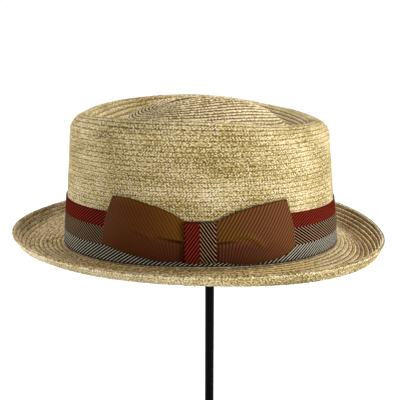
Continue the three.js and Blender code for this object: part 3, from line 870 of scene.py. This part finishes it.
# bent lines on each wing, out along the hat and up from the headline: the gathered crease and the soft fold
FRONT_CREASE = ((-12.4, 18.7), (-22.0, 20.6), (-31.5, 23.2))
FRONT_FOLD = ((-31.5, 23.2), (-37.0, 25.5), (-43.0, 28.5))
BACK_CREASE = ((10.8, 17.7), (18.0, 18.9), (25.6, 18.6))
BACK_FOLD = ((12.8, 19.6), (21.1, 23.7), (28.0, 23.7), (35.0, 20.2), (40.4, 14.5))


def through(rows, share):
    """Every column of a wing's rows at a share of its length, by a smooth curve."""
    table = np.array(rows)
    table = np.concatenate((2 * table[:1] - table[1:2], table, 2 * table[-1:] - table[-2:-1]))
    place = np.clip(share, 0, 1) * (len(rows) - 1)
    i = np.minimum(place.astype(int), len(rows) - 2)
    return curve(*(table[i + k] for k in range(4)), (place - i)[:, None]).T


def away(x, z, line):
    """Distance from a bent line, its share at the nearest place, and the side of it (above is positive)."""
    best = np.full(x.shape, 1e9)
    share = np.zeros(x.shape)
    above = np.zeros(x.shape)
    steps = len(line) - 1
    for k in range(steps):
        (x0, z0), (x1, z1) = line[k], line[k + 1]
        dx, dz = x1 - x0, z1 - z0
        t = np.clip(((x - x0) * dx + (z - z0) * dz) / (dx * dx + dz * dz), 0, 1)
        px, pz = x - x0 - t * dx, z - z0 - t * dz
        distance = np.hypot(px, pz)
        nearer = distance < best
        best = np.where(nearer, distance, best)
        share = np.where(nearer, (k + t) / steps, share)
        above = np.where(nearer, np.sign((dx * pz - dz * px) * (1 if dx > 0 else -1)), above)
    return best, share, above


def wing(name, rows, crease, fold, hand, seed):
    """A loop of ribbon: out along its face, round the end fold, and back behind. hand is -1 for the loop
    that points to the front of the hat."""
    # a grid of about half a millimetre, closer at the outer end
    outward = np.concatenate((np.linspace(0, 0.9, 84)[:-1], np.linspace(0.9, 1, 16)))
    across = np.linspace(0, 1, 72)
    low_turn, low, high_turn, high, puff = through(rows, outward)
    angle = SIDE + np.radians(low_turn[:, None] + (high_turn - low_turn)[:, None] * across)
    above = low[:, None] + (high - low)[:, None] * across
    x = wall_point(angle, above, BOW_BACK)[..., 0]
    # full across the middle, and falling to its two edges
    swell = 0.42 + 0.58 * np.sin(math.pi * across) ** 0.7
    out = puff[:, None] * swell[None, :]
    # the crease is sunk, with a soft welt above it, and runs out along the wing
    gap, share, side = away(x, above, crease)
    depth = (1 - smooth(share)) ** 0.8
    out -= 2.2 * depth * np.exp(-(gap / 0.9) ** 2) * (gap < 6)
    out += 0.9 * depth * np.exp(-((gap - 2.2) / 1.5) ** 2) * (side > 0)
    crease_shade = 0.9 * depth * np.exp(-(gap / 0.8) ** 2)
    above_crease = smooth(np.clip(0.5 + side * gap / 5, 0, 1))
    # the fold stands up over a hollow
    gap, share, side = away(x, above, fold)
    ridge = np.exp(-(gap / 1.5) ** 2) * np.sin(math.pi * np.clip(0.12 + 0.88 * share, 0, 1)) ** 0.6
    hollow = np.exp(-((gap - 2.6) / 1.2) ** 2) * (side < 0) * np.sin(math.pi * share) ** 0.6
    out += 0.9 * ridge - 0.5 * hollow
    # painted gold sheen above the crease, along the top edge and the arched fold, purple below, painted
    # shade in the crease and the outer corner
    along = outward[:, None]
    gold_sheen = (0.6 if hand > 0 else 0.4) * above_crease * smooth(np.clip(1 - along / 0.5, 0, 1))
    gold_sheen += 0.5 * np.exp(-((1 - across) / 0.07) ** 2) * smooth(along)
    gold_sheen = np.clip(gold_sheen + 0.9 * ridge * (hand > 0), 0, 0.9)
    purple = 0.7 * (1 - above_crease) * smooth(np.clip((0.5 - across) / 0.2, 0, 1)) * smooth(1 - along)
    corner = np.exp(-((1 - along) / 0.03) ** 2 - ((1 - across) / 0.04) ** 2)
    tint = np.stack((gold_sheen - purple, np.clip(crease_shade + 0.8 * corner, 0, 1)), -1)
    # slow waves, as any hand-folded ribbon has
    rng = np.random.default_rng(seed)
    for _ in range(5):
        kx, kz, phase = rng.normal(0, 0.09), rng.normal(0, 0.09), rng.uniform(0, 6.28)
        out += 0.10 * np.sin(kx * x + kz * above + phase)
    out = np.maximum(out, 0.9)
    back = 0.5 + 0.25 * np.sin(math.pi * across)
    thick = out[-1] - back
    bend = []
    for t in np.linspace(0, 1, FOLD_STEPS + 2)[1:-1]:
        turned = angle[-1] + hand * math.radians(FOLD_BULGE) * math.sin(math.pi * t) * thick
        share = 0.5 + 0.5 * math.cos(math.pi * t)
        bend.append(wall_point(turned, above[-1], BOW_BACK + back + thick * share))
    grid = np.concatenate((
        wall_point(angle, above, BOW_BACK + out),
        np.array(bend),
        wall_point(angle, above, BOW_BACK + back + 0 * out)[::-1],
    ))
    # lines of the twill: they lean with the ribbon, but stand up below the crease where it is gathered
    crease_x, crease_z = crease[0]
    gathered = smooth(np.clip((hand * (x - crease_x)) / GATHERED, 0, 1))
    slant = np.where(above > crease_z, RIB_SLANT, RIB_SLANT * gathered)
    u = hand * x - slant * (above - crease_z)
    v = above - low[:, None]
    end_u = u[-1] + np.linspace(0, 1, FOLD_STEPS + 2)[1:-1, None] * thick * 1.4
    back_u = end_u[-1:] + (u[-1:] - u[::-1])
    spots = np.stack((
        np.concatenate((u, end_u, back_u)),
        np.concatenate((v, np.repeat(v[-1:], FOLD_STEPS, 0), v[::-1])),
    ), -1)
    shades = np.concatenate((tint, np.repeat(tint[-1:], FOLD_STEPS, 0), tint[::-1]))
    corners, faces, lays = cloth(grid, spots, BOW_THICK)
    tints = cloth(grid, shades, BOW_THICK)[2]
    piece = make_piece(name, corners, faces[:, ::hand], lays[:, ::hand], GROSGRAIN, tints[:, ::hand])
    return piece


# Shot ribbon of rayon over cotton: a low satin sheen, with a painted sheen that turns from purple-brown to
# olive gold.
def shot_ribbon():
    material, tree, shader = new_finish("shot_brown_ribbon")
    uv = node(tree, "UVMap", uv_map="lay")
    u, v, _ = node(tree, "SeparateXYZ", (uv,)).outputs
    phase = node(tree, "Math", (u, 2 * math.pi / RIB), operation="MULTIPLY")
    wave = node(tree, "Math", (phase,), operation="SINE")
    line = node(tree, "MapRange", (wave, -0.6, 0.6, 0.0, 1.0), interpolation_type="SMOOTHSTEP")
    # the lines are weaker on the front loop, and the back one's ground is painted lighter: painted light on
    # the loop that faces the stronger lamps
    here = node(tree, "TexCoord").outputs["Object"]
    along_hat = node(tree, "SeparateXYZ", (here,)).outputs["X"]
    back_loop = node(tree, "MapRange", (along_hat, -0.01, 0.01, 0.0, 1.0))
    strong = node(tree, "Math", (back_loop, 0.22, 0.6), operation="MULTIPLY_ADD")
    line = node(tree, "Math", (line, strong), operation="MULTIPLY")
    # painted sheen: gold where the cloth turns up, and in the gathers purple and painted shade
    tint = node(tree, "UVMap", uv_map="tint")
    gold_sheen_less_purple, shade, _ = node(tree, "SeparateXYZ", (tint,)).outputs
    gold_sheen = node(tree, "Math", (gold_sheen_less_purple, 0.0), operation="MAXIMUM")
    purple = node(tree, "Math", (gold_sheen_less_purple, -1.0), operation="MULTIPLY")
    purple = node(tree, "Math", (purple, 0.0), operation="MAXIMUM")
    body = linear("48260A")
    for part, colour in ((back_loop, "59361C"), (gold_sheen, "5C400C"), (purple, "3A1A12"), (line, "2A1008"),
                         (shade, "120602")):
        body = node(tree, "Mix", {0: part, 6: body, 7: linear(colour)}, data_type="RGBA")
    thread = node(tree, "Math", (v, 2 * math.pi / WEFT), operation="MULTIPLY")
    thread = node(tree, "Math", (thread,), operation="SINE")
    relief = node(tree, "Math", (thread, 0.2, wave), operation="MULTIPLY_ADD")
    bump = node(tree, "Bump", {"Strength": 0.5, "Distance": 0.00015, "Height": relief})
    node(tree, shader, {"Base Color": body, "Roughness": 0.7, "Specular IOR Level": 0.02, "Normal": bump,
                        "Sheen Weight": 0.04, "Sheen Roughness": 0.35, "Sheen Tint": linear("B98A2E")})
    return material


GROSGRAIN = shot_ribbon()
front_wing = wing("bow_loop_front", FRONT_WING, FRONT_CREASE, FRONT_FOLD, -1, 11)
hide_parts("bow_front_wing")
back_wing = wing("bow_loop_back", BACK_WING, BACK_CREASE, BACK_FOLD, 1, 12)
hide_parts("bow_back_wing")


# ---------------------------------------------------------------- Knot
# A short wrap of the striped ribbon, its grey stripe folded under, drawn down over the middle of the bow
# and stitched behind. The red and tan stripes show side by side, with their lines meeting in chevrons.
KNOT_AT = math.radians(-0.2)    # its middle, as a turn from the hat's side, and half its width
KNOT_HALF = math.radians(5.8)
KNOT_FOOT = 4.6
KNOT_TOP = 32.5
KNOT_PUFF = 5.3        # how far it stands off the bow's back, and how far at its two ends
KNOT_LOW = 0.4
KNOT_LENGTH = 34.0     # of ribbon, from end to end
TURN_OVER = 0.12       # share of its length that turns over the bow's top, and under its foot
HALF_SHOWN = 10.75     # of the ribbon's width on either side of the knot's middle
side = np.linspace(-1, 1, 41)
down = np.linspace(0, 1, 61)
# full across the middle, rolled under at its two sides
roll = np.where(np.abs(side) > 0.86, np.sqrt(np.clip(1 - ((np.abs(side) - 0.86) / 0.15) ** 2, 0, 1)), 1.0)
lift = []
level = []
for t in down:
    end = min(t, 1 - t) / TURN_OVER
    if end < 1:
        turned = math.sin(end * math.pi / 2)
        lift.append(KNOT_LOW + (KNOT_PUFF - KNOT_LOW) * turned)
        inset = 1 - turned + 1.3 * (1 - math.cos(end * math.pi / 2))
        level.append(KNOT_TOP - inset if t < 0.5 else KNOT_FOOT + inset)
    else:
        k = (t - TURN_OVER) / (1 - 2 * TURN_OVER)
        lift.append(KNOT_PUFF + 0.5 * math.sin(math.pi * k))
        level.append(KNOT_TOP - 1.3 + (KNOT_FOOT - KNOT_TOP + 2.6) * k)
lift = np.array(lift)[:, None] * (0.55 + 0.45 * roll)[None, :]
turned = KNOT_HALF * np.where(np.abs(side) > 0.98, 0.97 * np.sign(side), side)
places = wall_point(SIDE + KNOT_AT + turned + 0 * lift, np.array(level)[:, None] + 0 * lift, BOW_BACK + lift)
across = RIBBON_WIDTH - 0.1 - HALF_SHOWN * (side + 1)
spots = np.stack(np.broadcast_arrays(KNOT_LENGTH * down[:, None] + 0.6, across), -1)
knot = make_piece("bow_knot_wrap", *cloth(places, spots, BOW_THICK), RIBBON)
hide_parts("bow_knot")


# ---------------------------------------------------------------- Rod stand
# A round foot of mild steel, a slim steel rod standing in its socket and a moulded cap under the tip.
# Foot and rod are powder-coated black, a fine pebbled skin with a low shine, and the cap is polypropylene.
def pebbled(name, colours, pebble_mm, depth_mm):
    """A black pebbled skin with a low shine, scuffed a little duller and lighter here and there."""
    material, tree, shader = new_finish(name)
    here = node(tree, "TexCoord").outputs["Object"]
    pebble = node(tree, "TexNoise", {"Vector": here, "Scale": 1000 / pebble_mm, "Detail": 2.0})
    scuff = node(tree, "TexNoise", {"Vector": here, "Scale": 60.0, "Detail": 4.0})
    rubbed = node(tree, "MapRange", (scuff, 0.35, 0.75, 0.44, 0.6))
    tint = node(tree, "Mix", {0: scuff, 6: linear(colours[0]), 7: linear(colours[1])}, data_type="RGBA")
    bump = node(tree, "Bump", {"Strength": 0.4, "Distance": depth_mm / 1000, "Height": pebble})
    node(tree, shader, {"Base Color": tint, "Roughness": rubbed, "Specular IOR Level": 0.02, "Normal": bump})
    return material


COATED_STEEL = pebbled("black_powder_coated_steel", ("030303", "060606"), 1.0, 0.05)
CAP_PLASTIC = pebbled("black_moulded_polypropylene", ("101010", "181818"), 0.7, 0.04)
for part, skin in (("stand_foot", COATED_STEEL), ("stand_rod", COATED_STEEL), ("stand_rest", CAP_PLASTIC)):
    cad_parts[part].data.materials[0] = skin
